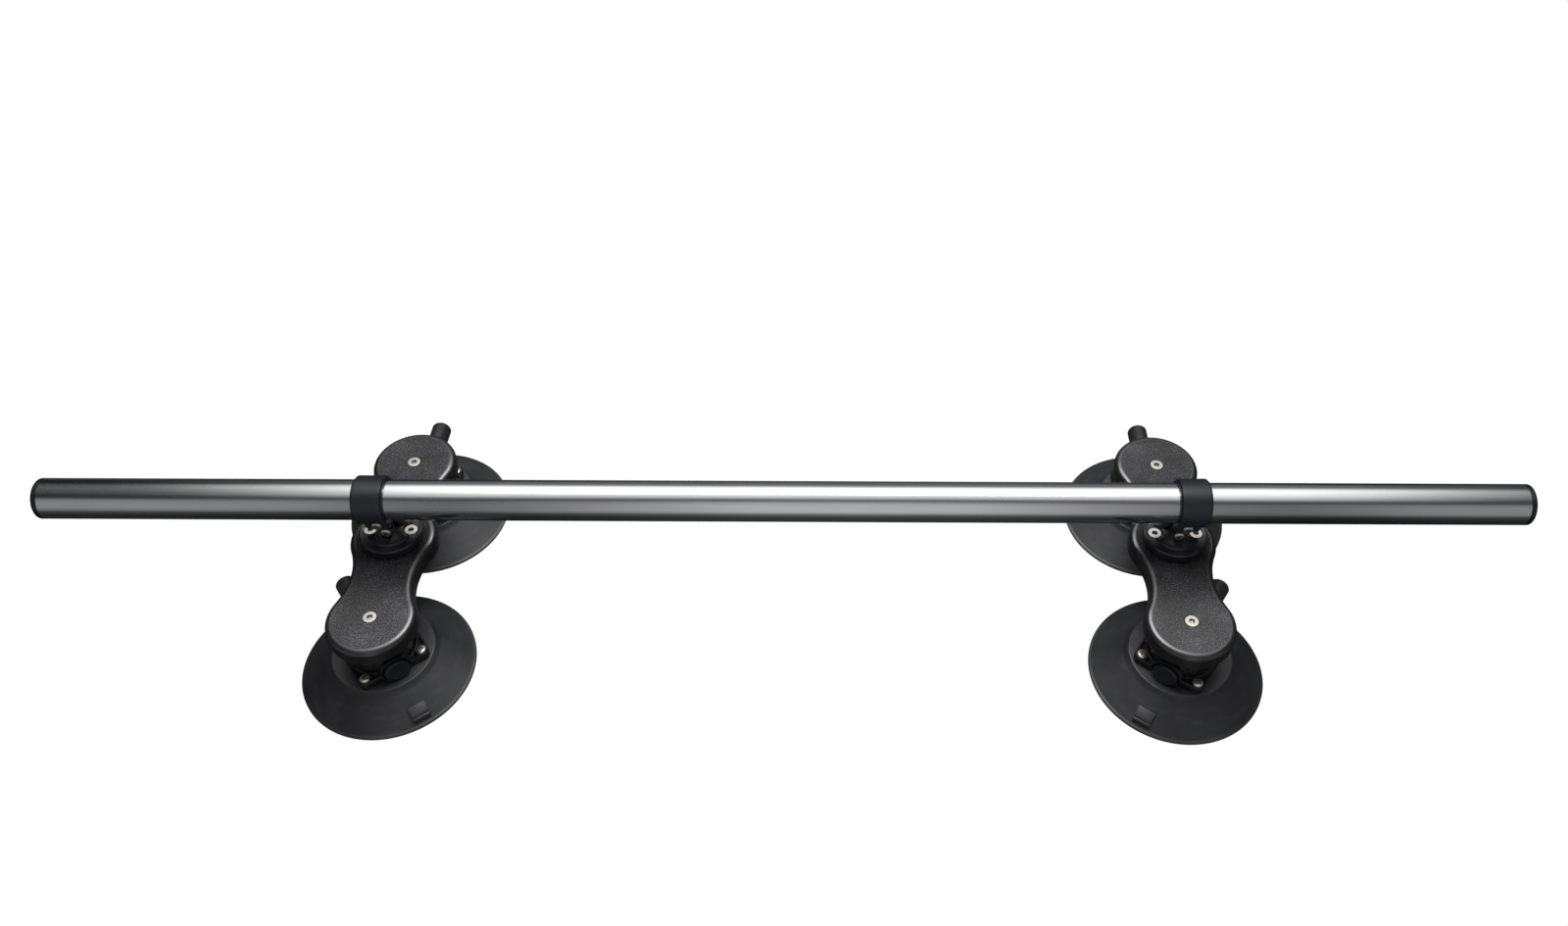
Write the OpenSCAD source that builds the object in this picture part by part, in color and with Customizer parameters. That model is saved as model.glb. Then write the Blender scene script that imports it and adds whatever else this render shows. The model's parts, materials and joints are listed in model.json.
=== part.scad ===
// Cargo bar carried on four hand-pumped vacuum mounts.
// Millimetres. X runs along the bar, Y runs from the front cups to the rear cups, Z is up.
// The origin is the middle of the bar, on its axis. Heights inside the modules are
// measured up from the surface the cups stand on, and each module is dropped by bar_height.

/* [Bar] */
// Overall length of the bar with its end caps on
bar_length = 1290; // [1100:10:1600]
// Outside diameter of the tube
bar_dia = 35.6; // [35:0.1:36.2]
// Wall thickness of the tube
bar_wall = 2; // [1.5:0.1:3]
// Thickness of the end cap's rim outside the tube
cap_rim = 5; // [3:0.5:8]

/* [Layout] */
// Distance between the two brackets, along the bar
bracket_spacing = 699; // [450:1:900]
// Distance between the front and rear cups of one bracket
cup_spacing = 179.6; // [176:0.2:190]
// Height of the bar's axis above the mounting surface
bar_height = 122.9; // [122.5:0.1:125]
// How far the clamp sits outboard of the pivot
clamp_offset = 5.5; // [4:0.5:6]

/* [Vacuum cups] */
// Radius of the cup's lip
cup_r = 76.2; // [74:0.1:80]
// Radius where the cone meets the flat crown
crown_r = 47; // [46:0.5:49]
// Height of the crown's flat top
crown_z = 26.45; // [26:0.05:27]
// Width of the pull tab
tab_w = 15.5; // [10:0.5:20]

/* [Pump] */
// Side of the square housing flange
flange_w = 64; // [62:0.5:66]
// Radius of the housing drum
drum_r = 30; // [29:0.1:30.4]
// Height of the pump's axis
pump_z = 38; // [37.6:0.1:38.6]
// Radius of the pump bore
bore_r = 9; // [8.6:0.1:9.4]
// Hole-to-hole distance of the corner screws
corner_pitch = 51.4; // [50.6:0.2:52]
// How far the plunger knob's tip stands from the mount's axis
knob_tip = 79.3; // [78.5:0.1:82]

/* [Brackets] */
// Outer radius of the lobes
lobe_r = 38.4; // [37.5:0.1:40]
// Half width of the waist between lobes
waist = 28.5; // [27:0.1:31]
// Height of the bracket's underside
bracket_z0 = 58; // [57:0.5:59]
// Height of the bracket's flat top
bracket_z1 = 74.2; // [74:0.1:74.6]

/* [Swivel angles] */
// Front left mount
yaw_fl = 36; // [-180:1:180]
// Front right mount
yaw_fr = -34.5; // [-180:0.5:180]
// Rear left mount
yaw_rl = -2.5; // [-180:0.5:180]
// Rear right mount
yaw_rr = 0; // [-180:1:180]

/* [Hidden] */
$fn = 72;
bar_r = bar_dia / 2;
liner_in = bar_r + 0.05;
liner_out = bar_r + 1.1;
band_in = liner_out + 0.05;
band_out = bar_r + 3.5;
band_hw = 12.5;
pivot_z = 90;
pinch_z = 100.6;
spot_y = 10.2;
jaw_y = 10.5;
jaw_z0 = 95.6;
ear_y = 9;
drum_top = 65.95;
pocket_z = 66;
screw_x = 18.2;

black = [0.06, 0.06, 0.065];
rubber = [0.13, 0.13, 0.135];
steel = [0.78, 0.76, 0.72];

// ---- placing ----

// One side of the bar: local +X points outboard
module side(s) translate([s * bracket_spacing / 2, 0, -bar_height]) mirror([s < 0 ? 1 : 0, 0, 0]) children();

// One vacuum mount: the plug points along local -Y and the plunger along +Y
module mount(s, f, yaw) translate([s * bracket_spacing / 2, f * cup_spacing / 2, -bar_height]) rotate([0, 0, yaw]) children();

// A cylinder or tube along Y from y0 to y1
module ycyl(r, y0, y1) translate([0, y0, 0]) rotate([-90, 0, 0]) cylinder(r = r, h = y1 - y0);

// A cylinder along X, centred
module xcyl(r, w) rotate([0, 90, 0]) cylinder(r = r, h = w, center = true);

// ---- fasteners ----

// Pan head machine screw pointing down -Z with a cross recess; its seat is at z = 0
module pan_screw(head_r, head_h, shank_r, len) {
    difference() {
        union() {
            rotate_extrude() polygon([[0, 0], [head_r, 0], [head_r, head_h * 0.42], [head_r * 0.9, head_h * 0.76], [head_r * 0.62, head_h], [0, head_h]]);
            translate([0, 0, -len]) cylinder(r = shank_r, h = len + 0.01);
        }
        for (a = [45, 135]) rotate([0, 0, a]) translate([-head_r * 0.5, -head_r * 0.12, head_h * 0.45]) cube([head_r, head_r * 0.24, head_h]);
    }
}

// Countersunk socket screw pointing down -Z; its top is at z = 0
module flat_screw(len) {
    difference() {
        union() {
            rotate_extrude() polygon([[0, 0], [5.8, 0], [5.8, -0.4], [3, -3.2], [3, -len], [0, -len]]);
        }
        translate([0, 0, -2.6]) cylinder(r = 2.3, h = 3, $fn = 6);
    }
}

// The seat that a countersunk screw needs; its top is at z = 0
module flat_seat(r, depth) {
    rotate_extrude() polygon([[0, 1], [5.9, 1], [5.9, -0.42], [r, -5.9 + r - 0.42], [r, -depth], [0, -depth]]);
}

// ---- bar ----

module bar_tube() color("silver") rotate([0, 90, 0]) difference() {
    cylinder(r = bar_r, h = bar_length - 2 * cap_rim, center = true);
    cylinder(r = bar_r - bar_wall, h = bar_length, center = true);
}

// Both caps: a rim flush with the tube and a hollow insert inside it
module end_caps() color(black) for (s = [-1, 1]) mirror([s < 0 ? 1 : 0, 0, 0])
    translate([bar_length / 2 - cap_rim, 0, 0]) rotate([0, 90, 0]) rotate_extrude()
        polygon([[0, cap_rim], [bar_r - 2, cap_rim], [bar_r - 0.7, cap_rim - 0.5], [bar_r, cap_rim - 1.8], [bar_r, 0.02],
                 [bar_r - bar_wall - 0.03, 0.02], [bar_r - bar_wall - 0.03, -18], [bar_r - bar_wall - 2.2, -18], [bar_r - bar_wall - 2.2, 2.2], [0, 2.2]]);

// ---- clamp ----

// Split plastic sleeve between the tube and the band, with a lip at each end
module clamp_liner(s) color([0.1, 0.1, 0.11]) side(s) translate([clamp_offset, 0, bar_height]) difference() {
    union() {
        xcyl(liner_out, 2 * band_hw + 2.4);
        for (e = [-1, 1]) translate([e * (band_hw + 0.65), 0, 0]) xcyl(liner_out + 1, 1.1);
    }
    xcyl(liner_in, 60);
    translate([-30, -1.5, -bar_r - 6]) cube([60, 3, 10]);
}

// Band, the two jaws under it and the two leaves that hang on the pivot bolt
module clamp_band(s) color([0.07, 0.08, 0.1]) side(s) difference() {
    union() {
        translate([clamp_offset, 0, bar_height]) xcyl(band_out, 2 * band_hw);
        translate([clamp_offset - 10.9, -jaw_y, jaw_z0]) cube([21.8, 2 * jaw_y, bar_height - 17.2 - jaw_z0]);
        translate([0, 0, pivot_z]) ycyl(5.4, -4, 4);
        translate([-5.4, -4, pivot_z]) cube([10.8, 8, jaw_z0 - pivot_z + 1]);
    }
    translate([clamp_offset, 0, bar_height]) xcyl(band_in, 60);
    translate([-20, -0.8, 80]) cube([60, 1.6, bar_height - 16 - 80]);
    translate([clamp_offset, 0, pinch_z]) {
        ycyl(2.52, -30, 30);
        // spot faces, which also relieve the band beside the head and the nut
        ycyl(5.3, -30, -spot_y);
        ycyl(5.3, spot_y, 30);
    }
    translate([0, 0, pivot_z]) ycyl(2.52, -30, 30);
}

// Pinch bolt through the jaws and pivot bolt through the ears
module clamp_bolts(s) color(steel) side(s) {
    translate([clamp_offset, -spot_y - 0.02, pinch_z]) rotate([90, 0, 0]) pan_screw(4.7, 2.9, 2.5, 25.5);
    translate([0, -ear_y - 0.04, pivot_z]) rotate([90, 0, 0]) pan_screw(4.7, 2.9, 2.5, 25.5);
}

module clamp_nuts(s) color(steel) side(s) {
    translate([clamp_offset, 0, pinch_z]) difference() { translate([0, spot_y + 0.02, 0]) rotate([-90, 0, 0]) cylinder(r = 4.6, h = 4, $fn = 6); ycyl(2.52, 0, 30); }
    translate([0, 0, pivot_z]) difference() { translate([0, ear_y + 0.04, 0]) rotate([-90, 0, 0]) cylinder(r = 4.6, h = 4, $fn = 6); ycyl(2.52, 0, 30); }
}

// ---- base disc with its two ears ----

module base_disc(s) color(black) side(s) difference() {
    union() {
        translate([0, 0, bracket_z1 + 0.05]) rotate_extrude()
            polygon([[0, 0], [27.8, 0], [27.8, 7.2], [26.9, 8.25], [20.4, 8.25], [19.2, 9.45], [0, 9.45]]);
        // ears, round over the pivot
        translate([0, 0, pivot_z]) {
            ycyl(5.4, -ear_y, ear_y);
            rotate([90, 0, 0]) linear_extrude(height = 2 * ear_y, center = true)
                polygon([[-10.5, -7], [10.5, -7], [6.9, 1], [3.5, 4.1], [-3.5, 4.1], [-6.9, 1]]);
        }
        // flared gussets in front of and behind the ears
        intersection() {
            translate([0, 0, 83]) rotate_extrude()
                polygon([[0, 0], [19, 0], [19, 0.8], [15.6, 1.6], [13, 3.2], [11.3, 5.4], [10.4, 8], [10, 10.4], [0, 10.4]]);
            translate([0, 0, 82]) linear_extrude(height = 20)
                polygon([[-11.6, 0], [-21.6, -20], [21.6, -20], [11.6, 0], [21.6, 20], [-21.6, 20]]);
        }
    }
    // slot for the leaves
    translate([-30, -4.1, 84]) cube([60, 8.2, 30]);
    // pivot hole and the recesses for its head and nut
    translate([0, 0, pivot_z]) {
        ycyl(2.55, -30, 30);
        ycyl(5.6, -30, -ear_y);
        ycyl(5.6, ear_y, 30);
        for (y = [-30, ear_y]) translate([-5.6, y, 0]) cube([11.2, 30 - ear_y, 12]);
    }
    for (x = [-screw_x, screw_x]) translate([x, 0, 82.5]) { flat_seat(3.05, 20); cylinder(r = 6.1, h = 20); }
}

// Four alike: two hold the disc down, two are the swivel studs of the cups
module flat_screws(s) color(steel) side(s) {
    for (x = [-screw_x, screw_x]) translate([x, 0, 82.5]) flat_screw(22);
    for (f = [-1, 1]) translate([0, f * cup_spacing / 2, bracket_z1]) flat_screw(22);
}

// ---- bracket ----

// Plan outline drawn in by d: three round lobes joined by concave waists
module outline(d) {
    cy = cup_spacing / 4;
    rf = (waist * waist + cy * cy - lobe_r * lobe_r) / (2 * (lobe_r - waist));
    cx = waist + rf;
    l = lobe_r + rf;
    tx = (lobe_r - d) * cx / l;
    ty = (lobe_r - d) * cy / l;
    for (y = [-2 * cy, 0, 2 * cy]) translate([0, y]) circle(r = lobe_r - d);
    for (m = [0, 1]) mirror([0, m]) difference() {
        translate([-tx, ty]) square([2 * tx, 2 * cy - 2 * ty]);
        for (x = [-cx, cx]) translate([x, cy]) circle(r = rf + d, $fn = 180);
    }
}

module bracket(s) color([0.1, 0.1, 0.105]) side(s) difference() {
    union() {
        translate([0, 0, bracket_z0]) linear_extrude(height = 11) outline(0);
        translate([0, 0, bracket_z0 + 10.9]) linear_extrude(height = 1.9) outline(0.4);
        translate([0, 0, bracket_z0 + 12.7]) linear_extrude(height = 1.5) outline(1.3);
        translate([0, 0, bracket_z0 + 14.1]) linear_extrude(height = 1.2) outline(2.7);
        translate([0, 0, bracket_z0 + 15.2]) linear_extrude(height = bracket_z1 - bracket_z0 - 15.2) outline(4.6);
    }
    for (f = [-1, 1]) translate([0, f * cup_spacing / 2, 0]) {
        translate([0, 0, bracket_z0 - 1]) cylinder(r = drum_r + 1, h = pocket_z - bracket_z0 + 1);
        translate([0, 0, bracket_z1]) flat_seat(3.02, 20);
    }
    // weight-saving pockets either side of the centre bosses
    for (f = [-1, 1]) translate([-20, f * 32 - 17, bracket_z0 - 1]) cube([40, 34, 10]);
    for (x = [-screw_x, screw_x]) translate([x, 0, bracket_z0 - 1]) cylinder(r = 3.02, h = 30);
}

// ---- vacuum mount ----

// Height of the cone's surface at radius r
function cone_z(r) = 2.4 + (cup_r - 1 - r) * (23 - 2.4) / (cup_r - 1 - crown_r);

module corner_spots() for (x = [-1, 1], y = [-1, 1]) translate([x * corner_pitch / 2, y * corner_pitch / 2, 0]) children();

module vacuum_pad(s, f, yaw) color(rubber) mount(s, f, yaw) difference() {
    union() {
        rotate_extrude($fn = 120) polygon([[0, crown_z], [44.5, crown_z], [45.9, 25], [crown_r, 23], [cup_r - 1, 2.4], [cup_r, 1.5], [cup_r, 0],
            [69.5, 0], [68, 1.4], [45, 17], [0, 17]]);
        // pull tab
        translate([tab_w / 2, 0, 0]) rotate([90, 0, -90]) linear_extrude(height = tab_w)
            polygon([[60.5, cone_z(60.5) - 2], [60.5, cone_z(60.5) + 0.8], [61.2, cone_z(61.2) + 1.5], [71.2, cone_z(71.2) + 3.9], [72.4, cone_z(72.4) + 3.4], [72.4, cone_z(72.4) - 1]]);
    }
    translate([0, 0, 10]) cylinder(r = 3.05, h = 30);
    corner_spots() translate([0, 0, 10]) cylinder(r = 2.05, h = 30);
}

module backing_plate(s, f, yaw) color(steel) mount(s, f, yaw) difference() {
    translate([0, 0, 13.9]) cylinder(r = 40, h = 3.05);
    translate([0, 0, 10]) cylinder(r = 6, h = 10);
    corner_spots() translate([0, 0, 10]) cylinder(r = 2.02, h = 10);
}

// Mushroom valve in the crown's centre hole
module check_valve(s, f, yaw) color([0.5, 0.1, 0.08]) mount(s, f, yaw) difference() {
    rotate_extrude() polygon([[0, 15.4], [5, 15.4], [5, 16.2], [3, 16.95], [3, 26.4], [0, 26.4]]);
    translate([0, 0, 10]) cylinder(r = 1, h = 20);
}

module pump_housing(s, f, yaw) color(black) mount(s, f, yaw) difference() {
    union() {
        // flange with rounded corners
        translate([0, 0, 26.5]) linear_extrude(height = 7) difference() {
            union() {
                square([flange_w, flange_w - 12], center = true);
                square([flange_w - 12, flange_w], center = true);
                for (x = [-1, 1], y = [-1, 1]) translate([x, y] * (flange_w / 2 - 6)) circle(r = 6);
            }
        }
        translate([0, 0, 26.5]) cylinder(r = drum_r, h = drum_top - 26.5 - 1.2);
        translate([0, 0, drum_top - 1.21]) cylinder(r = drum_r - 1.2, h = 1.21);
        // pump barrel ends
        intersection() {
            translate([0, 0, pump_z]) union() { ycyl(14, -35.5, 38); }
            translate([-30, -50, 26.5]) cube([60, 100, 40]);
        }
    }
    translate([0, 0, pump_z]) {
        ycyl(bore_r, -40, 33);
        ycyl(7.55, 30, 50);
        ycyl(12, -50, -33.5);
    }
    // swivel stud hole and air passage
    translate([0, 0, 51]) cylinder(r = 3.05, h = 30);
    translate([0, 0, 20]) cylinder(r = 3, h = 12);
    corner_spots() translate([0, 0, 20]) cylinder(r = 2.05, h = 20);
}

module housing_screws(s, f, yaw) color(steel) mount(s, f, yaw) corner_spots() translate([0, 0, 33.52]) pan_screw(4.8, 2.6, 2, 19.2);

module end_plug(s, f, yaw) color([0.05, 0.055, 0.06]) mount(s, f, yaw) translate([0, 0, pump_z]) rotate([90, 0, 0]) rotate_extrude()
    polygon([[0, 27.9], [bore_r - 0.02, 27.9], [bore_r - 0.02, 33.53], [11, 33.53], [11, 37.7], [10.4, 38.6], [8.8, 39], [0, 39]]);

// Spring between the plug and the piston
module pump_spring(s, f, yaw) color(steel) mount(s, f, yaw) translate([0, 0, pump_z]) {
    turns = 9; seg = 14; ring = 6; wire = 0.75; mean = 6.6; y0 = -26.9; y1 = 21;
    n = turns * seg;
    pts = [for (i = [0 : n]) let (a = 360 * i / seg, y = y0 + (y1 - y0) * i / n) for (k = [0 : ring - 1])
        let (b = 360 * k / ring, r = mean + wire * cos(b)) [r * cos(a), y + wire * sin(b), r * sin(a)]];
    faces = concat([[for (k = [0 : ring - 1]) k]],
        [for (i = [0 : n - 1], k = [0 : ring - 1]) let (k2 = (k + 1) % ring) [i * ring + k, (i + 1) * ring + k, (i + 1) * ring + k2, i * ring + k2]],
        [[for (k = [ring - 1 : -1 : 0]) n * ring + k]]);
    polyhedron(points = pts, faces = faces);
}

// Piston head, rod and the spigot that carries the indicator band and the knob
module piston(s, f, yaw) color([0.85, 0.85, 0.83]) mount(s, f, yaw) translate([0, 0, pump_z]) rotate([-90, 0, 0]) rotate_extrude()
    polygon([[0, 22], [bore_r - 0.07, 22], [bore_r - 0.07, 24.5], [7.2, 24.5], [7.2, 27.5], [bore_r - 0.07, 27.5], [bore_r - 0.07, 30.5], [7.46, 30.5],
             [7.46, 49.5], [6, 49.5], [6, knob_tip - 6.5], [0, knob_tip - 6.5]]);

module piston_seal(s, f, yaw) color([0.08, 0.08, 0.08]) mount(s, f, yaw) translate([0, 0, pump_z]) rotate([-90, 0, 0]) rotate_extrude()
    polygon([[7.22, 24.55], [bore_r - 0.03, 24.55], [bore_r - 0.03, 27.45], [7.22, 27.45]]);

module indicator_band(s, f, yaw) color([1, 0.45, 0]) mount(s, f, yaw) translate([0, 0, pump_z]) difference() {
    ycyl(7.5, 49.55, knob_tip - 20.55);
    ycyl(6.02, 40, 90);
}

module plunger_knob(s, f, yaw) color([0.09, 0.09, 0.1]) mount(s, f, yaw) translate([0, 0, pump_z]) rotate([-90, 0, 0]) rotate_extrude()
    polygon([[6.02, knob_tip - 20.5], [8.8, knob_tip - 20.5], [9.2, knob_tip - 20.1], [9.2, knob_tip - 2.6], [8.8, knob_tip - 1.2], [7.8, knob_tip - 0.3], [6.4, knob_tip],
             [0, knob_tip], [0, knob_tip - 6.48], [6.02, knob_tip - 6.48]]);

// ---- which node is drawn ----

bar_tube();
end_caps();
clamp_liner(-1);  // left_clamp_liner
clamp_band(-1);  // left_clamp_band
clamp_bolts(-1);  // left_clamp_bolts
clamp_nuts(-1);  // left_clamp_nuts
base_disc(-1);  // left_base_disc
flat_screws(-1);  // left_flat_screws
bracket(-1);  // left_bracket
clamp_liner(1);  // right_clamp_liner
clamp_band(1);  // right_clamp_band
clamp_bolts(1);  // right_clamp_bolts
clamp_nuts(1);  // right_clamp_nuts
base_disc(1);  // right_base_disc
flat_screws(1);  // right_flat_screws
bracket(1);  // right_bracket
vacuum_pad(-1, -1, yaw_fl);  // front_left_vacuum_pad
backing_plate(-1, -1, yaw_fl);  // front_left_backing_plate
check_valve(-1, -1, yaw_fl);  // front_left_check_valve
pump_housing(-1, -1, yaw_fl);  // front_left_pump_housing
housing_screws(-1, -1, yaw_fl);  // front_left_housing_screws
end_plug(-1, -1, yaw_fl);  // front_left_end_plug
pump_spring(-1, -1, yaw_fl);  // front_left_pump_spring
piston(-1, -1, yaw_fl);  // front_left_piston
piston_seal(-1, -1, yaw_fl);  // front_left_piston_seal
indicator_band(-1, -1, yaw_fl);  // front_left_indicator_band
plunger_knob(-1, -1, yaw_fl);  // front_left_plunger_knob
vacuum_pad(1, -1, yaw_fr);  // front_right_vacuum_pad
backing_plate(1, -1, yaw_fr);  // front_right_backing_plate
check_valve(1, -1, yaw_fr);  // front_right_check_valve
pump_housing(1, -1, yaw_fr);  // front_right_pump_housing
housing_screws(1, -1, yaw_fr);  // front_right_housing_screws
end_plug(1, -1, yaw_fr);  // front_right_end_plug
pump_spring(1, -1, yaw_fr);  // front_right_pump_spring
piston(1, -1, yaw_fr);  // front_right_piston
piston_seal(1, -1, yaw_fr);  // front_right_piston_seal
indicator_band(1, -1, yaw_fr);  // front_right_indicator_band
plunger_knob(1, -1, yaw_fr);  // front_right_plunger_knob
vacuum_pad(-1, 1, yaw_rl);  // rear_left_vacuum_pad
backing_plate(-1, 1, yaw_rl);  // rear_left_backing_plate
check_valve(-1, 1, yaw_rl);  // rear_left_check_valve
pump_housing(-1, 1, yaw_rl);  // rear_left_pump_housing
housing_screws(-1, 1, yaw_rl);  // rear_left_housing_screws
end_plug(-1, 1, yaw_rl);  // rear_left_end_plug
pump_spring(-1, 1, yaw_rl);  // rear_left_pump_spring
piston(-1, 1, yaw_rl);  // rear_left_piston
piston_seal(-1, 1, yaw_rl);  // rear_left_piston_seal
indicator_band(-1, 1, yaw_rl);  // rear_left_indicator_band
plunger_knob(-1, 1, yaw_rl);  // rear_left_plunger_knob
vacuum_pad(1, 1, yaw_rr);  // rear_right_vacuum_pad
backing_plate(1, 1, yaw_rr);  // rear_right_backing_plate
check_valve(1, 1, yaw_rr);  // rear_right_check_valve
pump_housing(1, 1, yaw_rr);  // rear_right_pump_housing
housing_screws(1, 1, yaw_rr);  // rear_right_housing_screws
end_plug(1, 1, yaw_rr);  // rear_right_end_plug
pump_spring(1, 1, yaw_rr);  // rear_right_pump_spring
piston(1, 1, yaw_rr);  // rear_right_piston
piston_seal(1, 1, yaw_rr);  // rear_right_piston_seal
indicator_band(1, 1, yaw_rr);  // rear_right_indicator_band
plunger_knob(1, 1, yaw_rr);  // rear_right_plunger_knob
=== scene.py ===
import bpy
import bmesh
import json
import math
import numpy as np
from mathutils import Matrix, Vector

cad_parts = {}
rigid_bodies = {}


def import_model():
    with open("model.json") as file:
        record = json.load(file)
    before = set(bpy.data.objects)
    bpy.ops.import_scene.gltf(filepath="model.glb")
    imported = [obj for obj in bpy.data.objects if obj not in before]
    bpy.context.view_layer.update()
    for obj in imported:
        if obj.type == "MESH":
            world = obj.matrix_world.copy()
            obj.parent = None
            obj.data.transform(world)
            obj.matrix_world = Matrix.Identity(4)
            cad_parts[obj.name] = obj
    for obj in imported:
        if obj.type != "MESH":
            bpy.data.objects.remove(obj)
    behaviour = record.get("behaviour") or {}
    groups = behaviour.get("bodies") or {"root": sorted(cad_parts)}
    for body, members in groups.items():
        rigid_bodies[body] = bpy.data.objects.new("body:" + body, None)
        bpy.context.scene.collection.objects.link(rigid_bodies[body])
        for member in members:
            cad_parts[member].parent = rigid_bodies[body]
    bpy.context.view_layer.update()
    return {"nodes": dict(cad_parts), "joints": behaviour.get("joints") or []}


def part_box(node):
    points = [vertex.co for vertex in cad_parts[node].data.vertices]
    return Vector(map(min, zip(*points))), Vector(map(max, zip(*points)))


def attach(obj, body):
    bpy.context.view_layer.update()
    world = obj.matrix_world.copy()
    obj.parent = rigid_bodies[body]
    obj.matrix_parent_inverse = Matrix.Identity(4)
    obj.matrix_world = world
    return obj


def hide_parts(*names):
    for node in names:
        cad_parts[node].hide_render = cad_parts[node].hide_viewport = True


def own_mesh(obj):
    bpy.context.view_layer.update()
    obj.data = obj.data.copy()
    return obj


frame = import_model()
NODES = frame["nodes"]
JOINTS = {j["name"]: j for j in frame["joints"]}
MM = 0.001

# ---------------------------------------------------------------- sizes read from the frame
lo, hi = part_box("bar_tube")
BAR_R = (hi.z - lo.z) / 2 / MM
TUBE_HALF = hi.x / MM
lo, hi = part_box("end_caps")
BAR_HALF = hi.x / MM
lo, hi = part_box("front_left_vacuum_pad")
GROUND = lo.z / MM                       # the plane the cups stand on, below the bar's axis
H = -GROUND
CUP_R = 76.2
LOBE_R, WAIST = 38.4, 28.5
SPACING = (JOINTS["right_bracket_tilt"]["pos_m"][0] - JOINTS["left_bracket_tilt"]["pos_m"][0]) / MM
CUPS = (JOINTS["rear_left_mount_swivel"]["pos_m"][1] - JOINTS["front_left_mount_swivel"]["pos_m"][1]) / MM
OFF = JOINTS["right_clamp_roll"]["pos_m"][0] / MM - SPACING / 2
PIVOT_Z = JOINTS["right_bracket_tilt"]["pos_m"][2] / MM + H
PINCH_Z = 100.6
PUMP_Z = 38.0
TOP = 74.2
SCREW_X = 18.2
PITCH = 51.4

SIDES = {"left": -1, "right": 1}
MOUNTS = {}
for name in ("front_left", "front_right", "rear_left", "rear_right"):
    p = JOINTS[name + "_mount_swivel"]["pos_m"]
    a = JOINTS[name + "_plunger_stroke"]["axis"]
    MOUNTS[name] = (p[0] / MM, p[1] / MM, math.atan2(a[0], -a[1]))


# ---------------------------------------------------------------- signed distances, in millimetres
def norm2(a, b):
    return np.sqrt(a * a + b * b)


def smin(a, b, k):
    if k <= 0:
        return np.minimum(a, b)
    h = np.maximum(k - np.abs(a - b), 0) / k
    return np.minimum(a, b) - h * h * k * 0.25


def smax(a, b, k):
    return -smin(-a, -b, k)


def extrude(d2, w, r):
    """A plan distance d2 and a height distance w joined with an edge radius r."""
    a, b = d2 + r, w + r
    return np.minimum(np.maximum(a, b), 0) + norm2(np.maximum(a, 0), np.maximum(b, 0)) - r


def rect(u, v, hu, hv, r):
    a, b = np.abs(u) - (hu - r), np.abs(v) - (hv - r)
    return np.minimum(np.maximum(a, b), 0) + norm2(np.maximum(a, 0), np.maximum(b, 0)) - r


def cyl(u, v, w, radius, w0, w1, r):
    return extrude(norm2(u, v) - radius, np.abs(w - (w0 + w1) / 2) - (w1 - w0) / 2, r)


def block(x, y, z, lo, hi, r):
    d = [np.abs(c - (a + b) / 2) - ((b - a) / 2 - r) for c, a, b in zip((x, y, z), lo, hi)]
    out = np.sqrt(sum(np.maximum(c, 0) ** 2 for c in d))
    return out + np.minimum(np.maximum(np.maximum(d[0], d[1]), d[2]), 0) - r


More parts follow.
